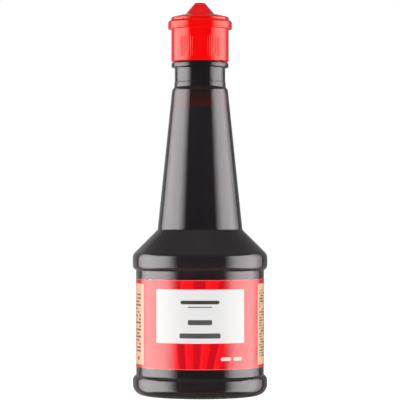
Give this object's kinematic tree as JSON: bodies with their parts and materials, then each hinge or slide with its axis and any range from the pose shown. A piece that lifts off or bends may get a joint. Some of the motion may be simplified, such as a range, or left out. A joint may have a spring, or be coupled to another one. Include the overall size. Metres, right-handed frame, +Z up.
{
  "type": "soy sauce bottle",
  "caption": "Clear glass table bottle of dark sauce, with a banded body, sloped shoulder, long tapered neck, wrap-around label and ribbed pourer cap with a coned lid.",
  "frame": {"origin": "middle of the ring that the bottle stands on, on the surface below it", "axes": "+Z up along the bottle's axis, -Y towards the front of the label, +X to the viewer's right"},
  "size_m": [0.06, 0.06, 0.1746],
  "materials": {
    "glass": "clear flint glass, blown in a mould",
    "sauce": "dark liquid, stands for the sauce",
    "label": "gloss",
    "cap": "glossy moulded polypropylene"
  },
  "bodies": {
    "root": {"bottle": "glass", "sauce": "sauce", "label": "label", "cap": "cap", "lid": "cap"}
  },
  "joints": []
}
